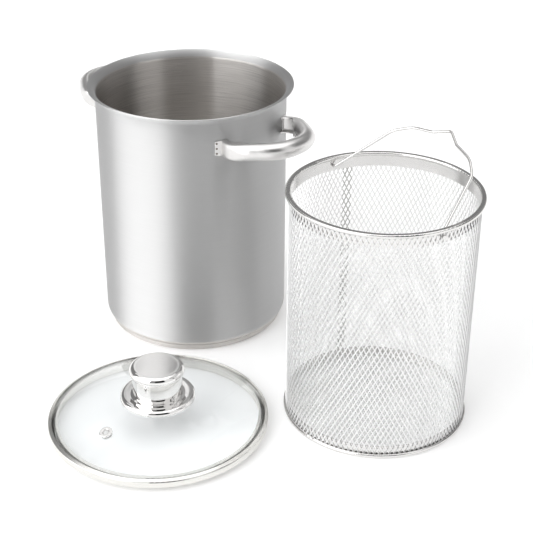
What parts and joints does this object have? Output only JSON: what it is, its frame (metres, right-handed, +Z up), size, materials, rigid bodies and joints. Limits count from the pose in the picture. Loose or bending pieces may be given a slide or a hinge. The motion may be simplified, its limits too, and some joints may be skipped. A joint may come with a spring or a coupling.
{
  "type": "pasta pot with strainer basket",
  "caption": "Tall steel stockpot with two loop handles, a lift-out mesh strainer basket with a swinging bail, and a domed glass lid with a steel knob, set out in a row.",
  "frame": {"origin": "centre of the underside of the pot's base, on the surface that the row stands on", "axes": "+Z up along the pot's axis, +X towards the basket's side, -Y towards the lid and the viewer"},
  "size_m": [0.3335, 0.3706, 0.2268],
  "materials": {
    "brushed_steel": "satin brushed",
    "ring_steel": "semi-polished",
    "mesh_steel": "bright drawn",
    "polished_steel": "mirror polished",
    "tempered_glass": "clear",
    "core_aluminium": "plain",
    "silicone": "translucent white"
  },
  "bodies": {
    "pot": {"pot_body": "brushed_steel", "base_cap": "brushed_steel", "base_core": "core_aluminium", "handle_right": "brushed_steel", "handle_left": "brushed_steel", "handle_right_welds": "brushed_steel", "handle_left_welds": "brushed_steel"},
    "basket": {"basket_wall": "mesh_steel", "basket_floor": "mesh_steel", "basket_top_band": "polished_steel", "basket_bottom_band": "polished_steel"},
    "bail": {"bail": "polished_steel"},
    "lid": {"lid_glass": "tempered_glass", "lid_ring": "ring_steel", "vent_eyelet": "polished_steel", "knob_foot": "polished_steel", "knob_collar": "polished_steel", "knob_head": "polished_steel", "knob_post": "brushed_steel", "knob_screw": "polished_steel", "knob_gasket_upper": "silicone", "knob_gasket_lower": "silicone", "knob_washer": "polished_steel"}
  },
  "joints": [
    {"name": "basket_lift", "type": "slide", "parent": "pot", "child": "basket", "axis": [0, 0, 1], "range_m": [0, 0.25]},
    {"name": "bail_swing", "type": "hinge", "parent": "basket", "child": "bail", "pos_m": [0.15221, -0.15679, 0.184], "axis": [-0.5075, 0.8616, 0], "range_deg": [-134, 26]},
    {"name": "lid_lift", "type": "slide", "parent": "pot", "child": "lid", "axis": [0, 0, 1], "range_m": [0, 0.25]}
  ]
}
